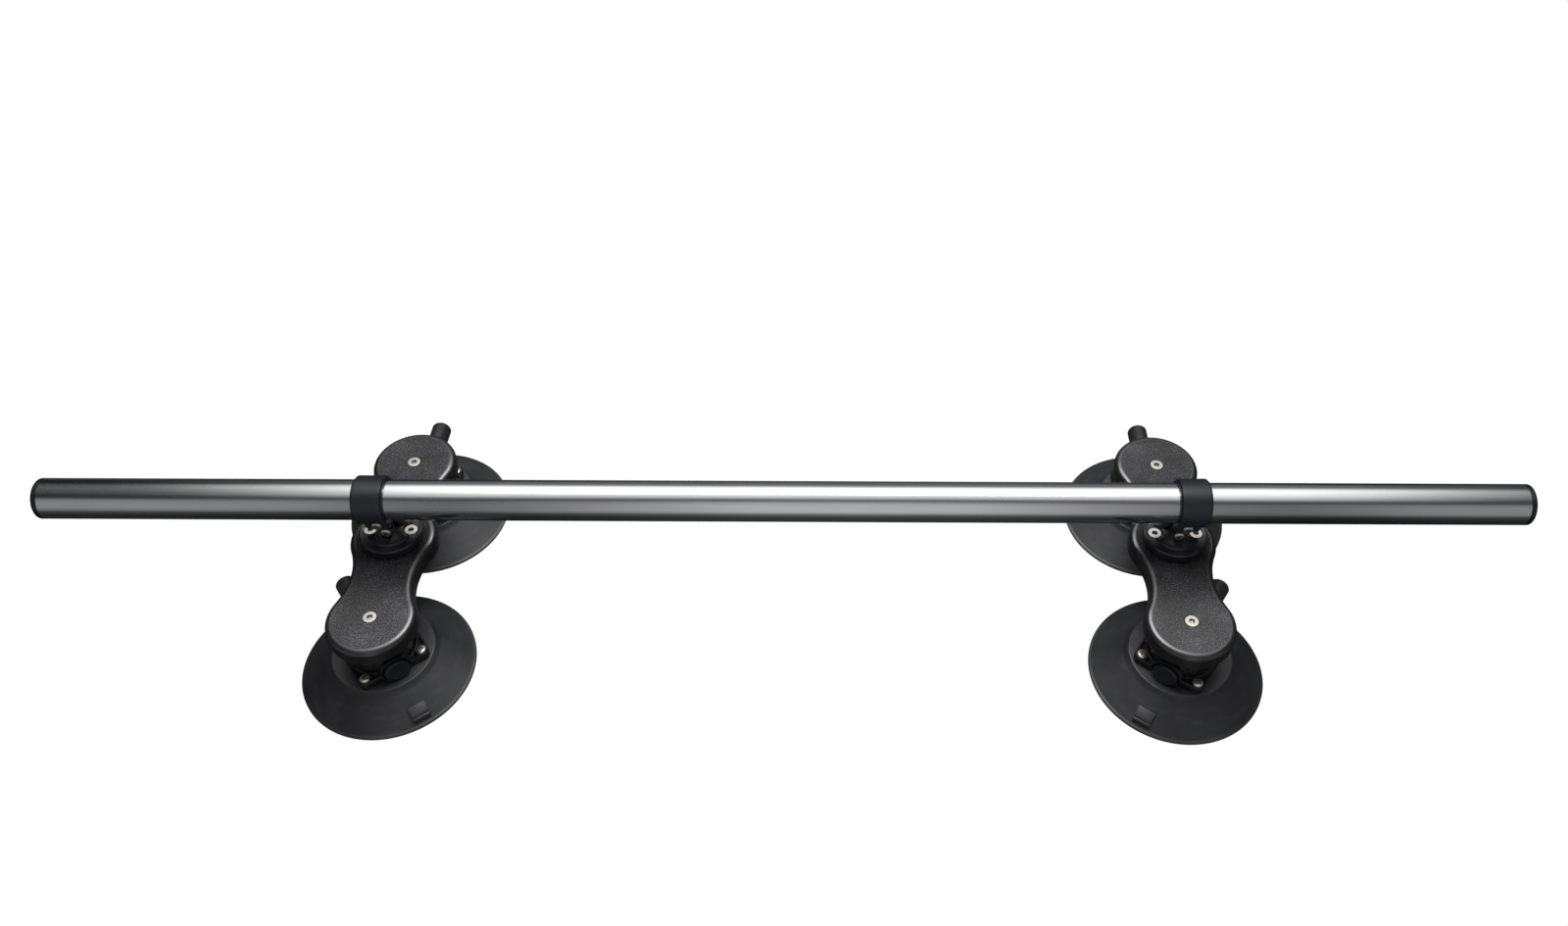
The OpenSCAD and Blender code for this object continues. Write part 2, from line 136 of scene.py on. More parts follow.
def net(fn, lo, hi, h):
    """Surface net of fn = 0: vertices, quads and normals. Vertices are drawn onto the true surface."""
    axes = [np.arange(a, b + h, h) for a, b in zip(lo, hi)]
    X, Y, Z = np.meshgrid(*axes, indexing="ij")
    F = fn(X, Y, Z).astype(np.float64)
    inside = F < 0
    n = np.array(F.shape) - 1
    corners = [(i, j, k) for i in (0, 1) for j in (0, 1) for k in (0, 1)]
    cut = lambda A, c: A[c[0]:c[0] + n[0], c[1]:c[1] + n[1], c[2]:c[2] + n[2]]
    total = sum(cut(inside, c).astype(np.int8) for c in corners)
    active = (total > 0) & (total < 8)
    ids = -np.ones(active.shape, np.int64)
    cells = np.argwhere(active)
    ids[active] = np.arange(len(cells))
    vals = {c: cut(F, c)[active] for c in corners}
    acc, cnt = np.zeros((len(cells), 3)), np.zeros(len(cells))
    for c in corners:
        for ax in range(3):
            if c[ax] == 0:
                d = list(c)
                d[ax] = 1
                a, b = vals[c], vals[tuple(d)]
                hit = (a < 0) != (b < 0)
                t = np.where(hit, a / np.where(hit, a - b, 1), 0)
                p = np.array(c, float)[None, :] + np.zeros((len(cells), 3))
                p[:, ax] += t
                acc += p * hit[:, None]
                cnt += hit
    P = (cells + acc / cnt[:, None]) * h + np.array([a[0] for a in axes])
    quads = []
    for ax in range(3):
        u, v = [a for a in range(3) if a != ax]
        if ax == 1:
            u, v = v, u
        s0 = [slice(None)] * 3
        s1 = [slice(None)] * 3
        s0[ax], s1[ax] = slice(0, -1), slice(1, None)
        a, b = inside[tuple(s0)], inside[tuple(s1)]
        e = np.argwhere(a != b)
        e = e[(e[:, u] > 0) & (e[:, v] > 0) & (e[:, u] < n[u]) & (e[:, v] < n[v])]
        into = a[tuple(e.T)]
        def cell(du, dv):
            c = e.copy()
            c[:, u] -= du
            c[:, v] -= dv
            return ids[tuple(c.T)]
        q = np.stack([cell(1, 1), cell(0, 1), cell(0, 0), cell(1, 0)], 1)
        q = np.where(into[:, None], q, q[:, ::-1])
        quads.append(q)
    Q = np.concatenate(quads)
    Q = Q[(Q >= 0).all(1)]
    eps = h * 0.05

    def grad(P):
        g = np.stack([fn(*(P + d).T) - fn(*(P - d).T) for d in np.eye(3) * eps], 1) / (2 * eps)
        return g

    home = P.copy()
    for _ in range(3):
        f = fn(*P.T)
        g = grad(P)
        step = (f / np.maximum((g * g).sum(1), 0.25))[:, None] * g
        P = P - np.clip(step, -0.4 * h, 0.4 * h)
        P = home + np.clip(P - home, -0.75 * h, 0.75 * h)
    g = grad(P)
    N = g / np.maximum(np.linalg.norm(g, axis=1), 1e-9)[:, None]
    return P, Q, N


def mesh_from(name, P, Q, N=None, flip=False, values=None):
    """A mesh in metres. flip mirrors it in X."""
    P = P * MM
    if flip:
        P = P * np.array([-1, 1, 1])
        Q = Q[:, ::-1]
        if N is not None:
            N = N * np.array([-1, 1, 1])
    me = bpy.data.meshes.new(name)
    me.vertices.add(len(P))
    me.vertices.foreach_set("co", P.astype(np.float32).ravel())
    me.loops.add(Q.size)
    me.loops.foreach_set("vertex_index", Q.astype(np.int32).ravel())
    me.polygons.add(len(Q))
    me.polygons.foreach_set("loop_start", np.arange(0, Q.size, Q.shape[1], dtype=np.int32))
    me.update(calc_edges=True)
    me.validate()
    me.polygons.foreach_set("use_smooth", np.ones(len(me.polygons), bool))
    for key, v in (values or {}).items():
        att = me.attributes.new(key, "FLOAT", "POINT")
        att.data.foreach_set("value", np.asarray(v, np.float32))
    if N is not None:
        me.normals_split_custom_set_from_vertices([tuple(v) for v in N])
    me.update()
    return me


def sdf_mesh(name, fn, lo, hi, h, flip=False, value=None):
    P, Q, N = net(fn, lo, hi, h)
    return mesh_from(name, P, Q, N, flip, value(P) if value else None)


# ---------------------------------------------------------------- turned parts
def fillet(points, closed=False):
    """points: (r, z) or (r, z, radius). Corners with a radius become arcs."""
    out = []
    n = len(points)
    for i, p in enumerate(points):
        rad = p[2] if len(p) > 2 else 0
        if rad <= 0 or (not closed and i in (0, n - 1)):
            out.append((p[0], p[1]))
            continue
        a, b, c = Vector(points[i - 1][:2]), Vector(p[:2]), Vector(points[(i + 1) % n][:2])
        u, v = (a - b).normalized(), (c - b).normalized()
        ang = u.angle(v)
        if ang > math.pi - 0.01:
            out.append((p[0], p[1]))
            continue
        t = min(rad / math.tan(ang / 2), (a - b).length * 0.49, (c - b).length * 0.49)
        r = t * math.tan(ang / 2)
        centre = b + (u + v).normalized() * (r / math.sin(ang / 2))
        s, e = b + u * t - centre, b + v * t - centre
        sweep = s.angle_signed(e)
        k = max(2, int(abs(sweep) / math.radians(12)) + 1)
        a0 = math.atan2(s.y, s.x)
        for j in range(k + 1):
            a1 = a0 - sweep * j / k
            out.append((centre.x + r * math.cos(a1), centre.y + r * math.sin(a1)))
    return out


def lathe(name, profile, seg=96, sharp=34, along="z"):
    """Turns a profile about its axis. A profile that starts and ends at r = 0 closes itself; any other is a ring."""
    prof = [p for i, p in enumerate(profile) if i == 0 or abs(p[0] - profile[i - 1][0]) + abs(p[1] - profile[i - 1][1]) > 1e-6]
    bm = bmesh.new()
    ring = prof[0][0] > 1e-9 or prof[-1][0] > 1e-9
    rows = []
    for r, z in prof:
        if r < 1e-9:
            rows.append([bm.verts.new((0, 0, z))])
        else:
            rows.append([bm.verts.new((r * math.cos(2 * math.pi * i / seg), r * math.sin(2 * math.pi * i / seg), z)) for i in range(seg)])
    pairs = list(zip(rows, rows[1:]))
    if ring:
        pairs.append((rows[-1], rows[0]))
    for a, b in pairs:
        for i in range(seg):
            j = (i + 1) % seg
            vs = [a[i % len(a)], a[j % len(a)], b[j % len(b)], b[i % len(b)]]
            vs = [v for k, v in enumerate(vs) if v not in vs[:k]]
            if len(vs) > 2:
                bm.faces.new(vs)
    bmesh.ops.recalc_face_normals(bm, faces=bm.faces)
    turn = Matrix.Identity(4)
    if along == "y":
        turn = Matrix.Rotation(math.radians(-90), 4, "X")
    if along == "x":
        turn = Matrix.Rotation(math.radians(90), 4, "Y")
    bm.transform(Matrix.Scale(MM, 4) @ turn)
    me = bpy.data.meshes.new(name)
    bm.to_mesh(me)
    bm.free()
    finish_mesh(me, sharp)
    return me


def finish_mesh(me, sharp=34):
    me.polygons.foreach_set("use_smooth", np.ones(len(me.polygons), bool))
    me.set_sharp_from_angle(angle=math.radians(sharp))
    me.update()


def boolean(name, base, tools, op="DIFFERENCE", sharp=34):
    """Exact boolean of meshes; the result is a new mesh."""
    a = bpy.data.objects.new("tmp_base", base)
    bpy.context.scene.collection.objects.link(a)
    extra = []
    for i, (t, m) in enumerate(tools):
        b = bpy.data.objects.new("tmp_tool%d" % i, t)
        b.matrix_world = m
        bpy.context.scene.collection.objects.link(b)
        mod = a.modifiers.new("b%d" % i, "BOOLEAN")
        mod.operation = op
        mod.solver = "EXACT"
        mod.object = b
        extra.append(b)
    bpy.context.view_layer.update()
    dg = bpy.context.evaluated_depsgraph_get()
    me = bpy.data.meshes.new_from_object(a.evaluated_get(dg))
    me.name = name
    for o in [a] + extra:
        bpy.data.objects.remove(o)
    finish_mesh(me, sharp)
    return me


def prism(name, pts, z0, z1, bevel=0.0, seg=2):
    """A straight prism over plan points, its edges rounded."""
    bm = bmesh.new()
    vs = [bm.verts.new((x, y, z0)) for x, y in pts]
    f = bm.faces.new(vs)
    up = bmesh.ops.extrude_face_region(bm, geom=[f])
    bmesh.ops.translate(bm, verts=[v for v in up["geom"] if isinstance(v, bmesh.types.BMVert)], vec=(0, 0, z1 - z0))
    bmesh.ops.recalc_face_normals(bm, faces=bm.faces)
    if bevel:
        bmesh.ops.bevel(bm, geom=list(bm.edges), offset=bevel, segments=seg, profile=0.5, affect="EDGES", clamp_overlap=True)
    bm.transform(Matrix.Scale(MM, 4))
    me = bpy.data.meshes.new(name)
    bm.to_mesh(me)
    bm.free()
    finish_mesh(me)
    return me


def T(x=0, y=0, z=0):
    return Matrix.Translation((x * MM, y * MM, z * MM))


def R(deg, ax):
    return Matrix.Rotation(math.radians(deg), 4, ax)


def join(name, parts):
    """One mesh from several (mesh, matrix), for fasteners that share a node."""
    bm = bmesh.new()
    for me, m in parts:
        t = me.copy()
        t.transform(m)
        if m.determinant() < 0:
            t.flip_normals()
        bm.from_mesh(t)
        bpy.data.meshes.remove(t)
    out = bpy.data.meshes.new(name)
    bm.to_mesh(out)
    bm.free()
    finish_mesh(out, 30)
    return out


def put(name, me, body, mat, replaces=(), matrix=None):
    o = bpy.data.objects.new(name, me)
    bpy.context.scene.collection.objects.link(o)
    if matrix is not None:
        o.matrix_world = matrix
    me.materials.clear()
    me.materials.append(mat)
    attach(o, body)
    if replaces:
        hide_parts(*replaces)
    return o


# ---------------------------------------------------------------- materials
class Tree:
    """Short calls for building a node material."""

    def __init__(self, name):
        self.m = bpy.data.materials.new(name)
        self.m.use_nodes = True
        self.t = self.m.node_tree
        self.b = self.t.nodes["Principled BSDF"]
        self.coord = self.t.nodes.new("ShaderNodeTexCoord")

    def link(self, a, b):
        self.t.links.new(a, b)

    def val(self, key, v):
        self.b.inputs[key].default_value = v

    def mapping(self, scale=(1, 1, 1), source="Object"):
        n = self.t.nodes.new("ShaderNodeMapping")
        n.inputs["Scale"].default_value = scale
        self.link(self.coord.outputs[source], n.inputs["Vector"])
        return n.outputs["Vector"]

    def noise(self, vec, scale, detail=3, rough=0.55, dist=0.0):
        n = self.t.nodes.new("ShaderNodeTexNoise")
        n.inputs["Scale"].default_value = scale
        n.inputs["Detail"].default_value = detail
        n.inputs["Roughness"].default_value = rough
        n.inputs["Distortion"].default_value = dist
        self.link(vec, n.inputs["Vector"])
        return n.outputs["Fac"]

    def voronoi(self, vec, scale, feature="F1", smooth=0.4):
        n = self.t.nodes.new("ShaderNodeTexVoronoi")
        n.feature = feature
        n.inputs["Scale"].default_value = scale
        if feature == "SMOOTH_F1":
            n.inputs["Smoothness"].default_value = smooth
        self.link(vec, n.inputs["Vector"])
        return n.outputs["Distance"]

    def ramp(self, fac, stops, interp="LINEAR"):
        n = self.t.nodes.new("ShaderNodeValToRGB")
        n.color_ramp.interpolation = interp
        while len(n.color_ramp.elements) < len(stops):
            n.color_ramp.elements.new(0.5)
        for e, (p, c) in zip(n.color_ramp.elements, stops):
            e.position = p
            e.color = c if len(c) == 4 else (*c, 1)
        self.link(fac, n.inputs["Fac"])
        return n.outputs["Color"]

    def span(self, fac, a, b, c, d):
        n = self.t.nodes.new("ShaderNodeMapRange")
        for i, v in zip((1, 2, 3, 4), (a, b, c, d)):
            n.inputs[i].default_value = v
        self.link(fac, n.inputs[0])
        return n.outputs[0]

    def math(self, op, a, b):
        n = self.t.nodes.new("ShaderNodeMath")
        n.operation = op
        for i, v in enumerate((a, b)):
            if isinstance(v, (int, float)):
                n.inputs[i].default_value = v
            elif v is not None:
                self.link(v, n.inputs[i])
        return n.outputs[0]

    def mix(self, fac, a, b):
        n = self.t.nodes.new("ShaderNodeMix")
        n.data_type = "RGBA"
        for sock, v in ((n.inputs[0], fac), (n.inputs[6], a), (n.inputs[7], b)):
            if hasattr(v, "links"):
                self.link(v, sock)
            else:
                sock.default_value = v if isinstance(v, float) else (*v, 1)
        return n.outputs[2]

    def bump(self, height, strength, distance=0.0002, under=None):
        n = self.t.nodes.new("ShaderNodeBump")
        n.inputs["Strength"].default_value = strength
        n.inputs["Distance"].default_value = distance
        self.link(height, n.inputs["Height"])
        if under is not None:
            self.link(under, n.inputs["Normal"])
        return n.outputs["Normal"]

    def attr(self, name):
        n = self.t.nodes.new("ShaderNodeAttribute")
        n.attribute_name = name
        return n.outputs["Fac"]


def plastic(name, colour, rough, grain=900.0, bump=0.12, spec=0.5, variation=0.25, coat=0.0, dust=0.0):
    t = Tree(name)
    v = t.mapping()
    big = t.noise(v, 28.0, 4)
    fine = t.noise(v, grain, 3)
    dark = tuple(c * (1 - variation) for c in colour)
    light = tuple(min(1, c * (1 + variation) + 0.002) for c in colour)
    col = t.ramp(big, [(0.3, dark), (0.7, light)])
    if dust:
        d = t.noise(v, 60.0, 6, 0.7)
        col = t.mix(t.span(d, 0.52, 0.78, 0.0, dust), col, (0.16, 0.155, 0.15))
    t.link(col, t.b.inputs["Base Color"])
    t.link(t.span(t.noise(v, 90.0, 4), 0.3, 0.7, rough - 0.06, rough + 0.07), t.b.inputs["Roughness"])
    t.link(t.bump(fine, bump, 0.00015), t.b.inputs["Normal"])
    t.val("Specular IOR Level", spec)
    if coat:
        t.val("Coat Weight", coat)
        t.val("Coat Roughness", 0.12)
    return t.m


def metal(name, colour, rough, stretch=(1, 1, 1), grain=600.0, bump=0.05, aniso=0.0, recess_shade=None):
    t = Tree(name)
    v = t.mapping(stretch)
    n = t.noise(v, grain, 4)
    col = t.ramp(n, [(0.3, tuple(c * 0.86 for c in colour)), (0.7, colour)])
    if recess_shade:
        # painted shade: an ambient occlusion node darkens the colour toward the given dark tint in sockets, crosses
        # and other hollows
        ao = t.t.nodes.new("ShaderNodeAmbientOcclusion")
        ao.inputs["Distance"].default_value = 0.0012
        ao.samples = 8
        col = t.mix(t.span(ao.outputs["AO"], 0.45, 0.85, 0.0, 1.0), recess_shade, col)
    t.link(col, t.b.inputs["Base Color"])
    t.val("Metallic", 1.0)
    t.link(t.span(n, 0.3, 0.7, rough * 0.8, rough * 1.3), t.b.inputs["Roughness"])
    t.link(t.bump(n, bump, 0.0001), t.b.inputs["Normal"])
    t.val("Anisotropic", aniso)
    return t.m


def bar_material():
    t = Tree("anodised_bar")
    v = t.mapping((1, 1, 1))
    drawn = t.noise(t.mapping((2.0, 260, 260)), 6.0, 5, 0.6)         # drawing lines run along the bar
    speck = t.noise(v, 1500.0, 2, 0.7)                               # etched sparkle
    cloud = t.noise(t.mapping((1, 6, 6)), 14.0, 5, 0.6)
    col = t.ramp(drawn, [(0.25, (0.66, 0.675, 0.68)), (0.75, (0.80, 0.81, 0.815))])
    col = t.mix(t.span(cloud, 0.35, 0.75, 0.0, 0.35), col, (0.60, 0.62, 0.60))
    t.link(col, t.b.inputs["Base Color"])
    t.val("Metallic", 1.0)
    r = t.math("ADD", t.span(drawn, 0.3, 0.7, 0.09, 0.14), t.span(speck, 0.35, 0.7, 0.0, 0.09))
    t.link(r, t.b.inputs["Roughness"])
    b1 = t.bump(drawn, 0.08, 0.00006)
    t.link(t.bump(speck, 0.16, 0.00006, b1), t.b.inputs["Normal"])
    return t.m


def bracket_material():
    """Pebbled flat top, smooth rolled edges. 'flat' is 1 on the top and 0 past its border."""
    t = Tree("pebbled_bracket")
    v = t.mapping()
    f = t.attr("flat")
    peb = t.voronoi(v, 1150.0, "SMOOTH_F1", 0.5)
    peb2 = t.noise(v, 1050.0, 2, 0.6)
    height = t.math("ADD", t.math("MULTIPLY", peb, 1.2), peb2)
    big = t.noise(v, 30.0, 4)
    # the top's pebble grain, partly its own tone and partly painted sparkle: the brightest specks are painted glints
    top = t.ramp(t.math("ADD", t.math("MULTIPLY", peb2, 0.8), t.math("MULTIPLY", big, 0.2)),
                 [(0.40, (0.002, 0.002, 0.0025)), (0.50, (0.010, 0.010, 0.011)), (0.58, (0.060, 0.060, 0.066)), (0.66, (0.22, 0.22, 0.235))])
    # painted shade: the waist under the bar is painted darker and given less specular than the outer lobes, by a mask
    # on object Y
    sep = t.t.nodes.new("ShaderNodeSeparateXYZ")
    t.link(v, sep.inputs[0])
    unshaded_lobes = t.math("MAXIMUM", t.span(sep.outputs["Y"], -0.085, -0.045, 1.0, 0.0), t.span(sep.outputs["Y"], 0.035, 0.085, 0.0, 0.7))
    top = t.mix(unshaded_lobes, t.mix(0.6, top, (0.002, 0.002, 0.0025)), top)
    side = t.ramp(big, [(0.3, (0.004, 0.004, 0.0045)), (0.7, (0.009, 0.009, 0.0095))])
    t.link(t.mix(f, side, top), t.b.inputs["Base Color"])
    t.link(t.span(f, 0.0, 1.0, 0.34, 0.38), t.b.inputs["Roughness"])
    # less specular at the waist, part of the painted shade
    t.link(t.math("ADD", t.span(f, 0.0, 1.0, 0.62, 0.0), t.math("MULTIPLY", f, t.span(unshaded_lobes, 0.0, 1.0, 0.20, 0.52))), t.b.inputs["Specular IOR Level"])
    t.val("Coat IOR", 1.62)
    t.link(t.span(f, 0.0, 1.0, 0.9, 0.0), t.b.inputs["Coat Weight"])
    t.val("Coat Roughness", 0.32)
    n = t.t.nodes.new("ShaderNodeBump")
    n.inputs["Distance"].default_value = 0.00022
    t.link(t.math("MULTIPLY", f, 0.52), n.inputs["Strength"])
    t.link(height, n.inputs["Height"])
    fine = t.bump(t.noise(v, 1500.0, 2), 0.05, 0.0001, n.outputs["Normal"])
    t.link(fine, t.b.inputs["Normal"])
    return t.m


def rubber_material():
    t = Tree("cup_rubber")
    v = t.mapping()
    big = t.noise(v, 18.0, 5, 0.6)
    streak = t.noise(t.mapping((1, 1, 6)), 40.0, 5, 0.65)
    scuff = t.noise(v, 220.0, 3, 0.7)
    col = t.ramp(big, [(0.3, (0.0100, 0.0102, 0.0122)), (0.7, (0.0205, 0.0209, 0.0250))])
    col = t.mix(t.span(streak, 0.5, 0.8, 0.0, 0.45), col, (0.052, 0.053, 0.061))
    col = t.mix(t.span(scuff, 0.66, 0.8, 0.0, 0.2), col, (0.07, 0.07, 0.07))
    t.link(col, t.b.inputs["Base Color"])
    t.link(t.span(big, 0.3, 0.7, 0.42, 0.55), t.b.inputs["Roughness"])
    t.val("Specular IOR Level", 0.55)
    t.link(t.bump(scuff, 0.10, 0.00012), t.b.inputs["Normal"])
    return t.m


M = {
    "bar": bar_material(),
    "cap": plastic("cap_plastic", (0.006, 0.006, 0.0065), 0.38, bump=0.08),
    "liner": plastic("liner_plastic", (0.014, 0.013, 0.020), 0.26, bump=0.05),
    "clamp": plastic("clamp_plastic", (0.015, 0.018, 0.026), 0.38, grain=700.0, bump=0.06, variation=0.2),
    "disc": plastic("disc_plastic", (0.014, 0.014, 0.018), 0.30, grain=500.0, bump=0.05, variation=0.2),
    "bracket": bracket_material(),
    "steel": metal("stainless_steel", (0.62, 0.59, 0.53), 0.27, grain=900.0, bump=0.06, recess_shade=(0.10, 0.065, 0.02)),
    "bolt": metal("bolt_steel", (0.86, 0.82, 0.75), 0.36, grain=700.0, bump=0.08, recess_shade=(0.03, 0.02, 0.008)),
    "brushed": metal("backing_steel", (0.62, 0.62, 0.62), 0.38, stretch=(1, 14, 1), grain=300.0, bump=0.08, aniso=0.4),
    "rubber": rubber_material(),
    "housing": plastic("housing_plastic", (0.008, 0.008, 0.0095), 0.38, grain=600.0, bump=0.07, variation=0.25),
    "knob": plastic("knob_plastic", (0.030, 0.029, 0.030), 0.48, grain=1200.0, bump=0.16),
    "plug": plastic("plug_plastic", (0.011, 0.013, 0.017), 0.36, grain=900.0, bump=0.06),
    "orange": plastic("indicator_orange", (1.0, 0.30, 0.0), 0.35, bump=0.04, variation=0.05),
    "piston": plastic("piston_acetal", (0.72, 0.70, 0.66), 0.40, bump=0.05, variation=0.05),
    "seal": plastic("seal_rubber", (0.012, 0.012, 0.012), 0.45, bump=0.05),
    "valve": plastic("valve_rubber", (0.30, 0.045, 0.035), 0.55, bump=0.10, variation=0.1),
}
# a look setting, not a property of the plastic: the band gives off a
# little light so that its thin edge stays bright in the shade of the knob
glow = M["orange"].node_tree.nodes["Principled BSDF"].inputs
glow["Emission Color"].default_value = (1.0, 0.28, 0.01, 1)
glow["Emission Strength"].default_value = 0.45

# ---------------------------------------------------------------- bar
bar = lathe("bar_tube_skin", fillet([
    (BAR_R - 2, -TUBE_HALF), (BAR_R, -TUBE_HALF, 0.3), (BAR_R, TUBE_HALF, 0.3), (BAR_R - 2, TUBE_HALF)], closed=True), 160, along="x")
put("round_bar", bar, "bar", M["bar"], ["bar_tube"])

rim = BAR_HALF - TUBE_HALF
ci = BAR_R - 2.05
cap = lathe("end_cap_skin", fillet([
    (0, rim), (BAR_R - 4.6, rim, 1.2), (BAR_R - 4.0, rim - 0.25, 0.3), (BAR_R - 3.2, rim, 0.8), (BAR_R, rim, 2.0), (BAR_R, 0.05, 0.3), (ci, 0.05),
    (ci, -18, 0.8), (ci - 2, -18, 0.5), (ci - 2, 2.2, 0.6), (0, 2.2)]), 120, along="x")
for s, tag in ((1, "right"), (-1, "left")):
    m = T(s * TUBE_HALF) @ (R(180, "Z") if s < 0 else Matrix.Identity(4))
    put(tag + "_tube_cap", cap, "bar", M["cap"], ["end_caps"], m)

# ---------------------------------------------------------------- clamp
BAND_IN, BAND_OUT, BAND_HW = BAR_R + 1.15, BAR_R + 3.5, 12.5


def band_sdf(x, y, z):
    """Local: +x outboard from the pivot's plane, z up from the ground."""
    u, w = x - OFF, z - H
    d = cyl(y, w, u, BAND_OUT, -BAND_HW, BAND_HW, 1.0)
    # the neck narrows from the band's width to the jaws
    wide = 10.9 + 1.4 * np.clip((z - 100.5) / 8.0, 0, 1) ** 2
    neck = smax(np.abs(u) - wide, np.abs(y) - 10.45 + 0.0 * z, 1.6)
    neck = smax(neck, np.maximum(95.65 - z, z - (H - 15)), 1.6)
    d = smin(d, neck, 4.0)
    leaf = cyl(x, z - PIVOT_Z, y, 5.35, -3.95, 3.95, 0.5)
    leaf = np.minimum(leaf, block(x, y, z, (-5.35, -3.95, PIVOT_Z), (5.35, 3.95, 99), 0.5))
    d = smin(d, leaf, 1.0)
    d = smax(d, BAND_IN - norm2(y, w), 0.9)
    spot = np.maximum(norm2(u, z - PINCH_Z) - 5.3, 10.2 - np.abs(y))
    d = smax(d, -spot, 0.25)
    slot = np.maximum(np.abs(y) - 0.8, z - (H - BAND_IN + 3.5))
    d = smax(d, -slot, 0.5)
    d = smax(d, 2.55 - norm2(u, z - PINCH_Z), 0.3)
    return smax(d, 2.55 - norm2(x, z - PIVOT_Z), 0.3)


P, Q, N = net(band_sdf, (OFF - 13.5, -22.5, 83.4), (OFF + 13.5, 22.5, H + 22.5), 0.55)
band_mesh = {1: mesh_from("band_right", P, Q, N), -1: mesh_from("band_left", P, Q, N, flip=True)}


liner = lathe("liner_skin", fillet([
    (BAR_R + 0.06, -BAND_HW - 1.2), (BAR_R + 2.1, -BAND_HW - 1.2, 0.45), (BAR_R + 2.1, -BAND_HW - 0.1, 0.3), (BAR_R + 1.1, -BAND_HW - 0.1),
    (BAR_R + 1.1, BAND_HW + 0.1), (BAR_R + 2.1, BAND_HW + 0.1, 0.3), (BAR_R + 2.1, BAND_HW + 1.2, 0.45), (BAR_R + 0.06, BAND_HW + 1.2)], closed=True), 120, along="x")
slit = prism("slit", [(-20, -1.5), (20, -1.5), (20, 1.5), (-20, 1.5)], -BAR_R - 5, -BAR_R + 6)
liner = boolean("liner_split", liner, [(slit, Matrix.Identity(4))])


# ---------------------------------------------------------------- fasteners
def hexagon(r, turn=0.0):
    return [(r * math.cos(math.radians(60 * i + turn)), r * math.sin(math.radians(60 * i + turn))) for i in range(6)]


def flat_screw():
    head = lathe("flat_head", fillet([(0, 0), (2.9, 0, 0.2), (5.8, 0, 0.25), (5.76, -0.42), (3, -3.2), (3, -21.6), (2.6, -22), (0, -22)]), 72)
    sock = prism("socket", hexagon(2.3), -2.4, 1.0)
    cone = lathe("socket_cone", [(0, -3.1), (2.2, -2.3), (2.2, 1), (0, 1)], 24)
    lead = lathe("socket_lead", [(0, -0.5), (2.2, -0.45), (2.95, 0.3), (2.95, 1), (0, 1)], 48)
    return boolean("flat_screw", head, [(sock, Matrix.Identity(4)), (cone, Matrix.Identity(4)), (lead, Matrix.Identity(4))])


def pan_screw(name, hr, hh, sr, length):
    head = lathe(name + "_head", fillet([(0, hh * 0.98), (hr * 0.66, hh * 0.93, 2.5), (hr * 0.94, hh * 0.66, 0.9), (hr, hh * 0.2, 0.5), (hr, 0, 0.15), (sr, 0), (sr, -length + 0.4), (sr - 0.4, -length), (0, -length)]), 72)
    tools = []
    w, l = hr * 0.16, hr * 0.66
    for a in (45, 135):
        bm = bmesh.new()
        quad = []
        for z, f in ((hh * 0.15, 0.7), (hh * 1.2, 1.0)):
            quad.append([bm.verts.new(((x * l * f) * MM, (y * w * (0.8 + 0.2 * f)) * MM, z * MM)) for x, y in ((-1, -1), (1, -1), (1, 1), (-1, 1))])
        bm.faces.new(quad[0][::-1])
        bm.faces.new(quad[1])
        for i in range(4):
            j = (i + 1) % 4
            bm.faces.new([quad[0][i], quad[0][j], quad[1][j], quad[1][i]])
        bmesh.ops.recalc_face_normals(bm, faces=bm.faces)
        me = bpy.data.meshes.new("arm")
        bm.to_mesh(me)
        bm.free()
        tools.append((me, R(a, "Z")))
    cone = lathe("cross_cone", [(0, hh * 0.18), (hr * 0.17, hh * 0.5), (hr * 0.24, hh * 1.2), (0, hh * 1.2)], 24)
    tools.append((cone, Matrix.Identity(4)))
    return boolean(name, head, tools)


def nut():
    body = prism("nut_body", hexagon(4.6), 0, 4, 0.0)
    cham = lathe("nut_round", fillet([(0, 0), (4.25, 0), (4.7, 0.5), (4.7, 3.1), (4.1, 3.75, 0.3), (3.3, 3.98, 0.3), (0, 3.98)]), 72)
    me = boolean("nut_cut", body, [(cham, Matrix.Identity(4))], "INTERSECT")
    hole = lathe("nut_hole", [(0, -1), (3.1, -1), (2.53, 0.55), (2.53, 6), (0, 6)], 48)
    return boolean("nut_skin", me, [(hole, Matrix.Identity(4))])


FLAT = flat_screw()
PAN5 = pan_screw("pan_m5", 4.7, 2.9, 2.5, 25.5)
PAN4 = pan_screw("pan_m4", 4.8, 2.6, 1.98, 19.2)
NUT = nut()


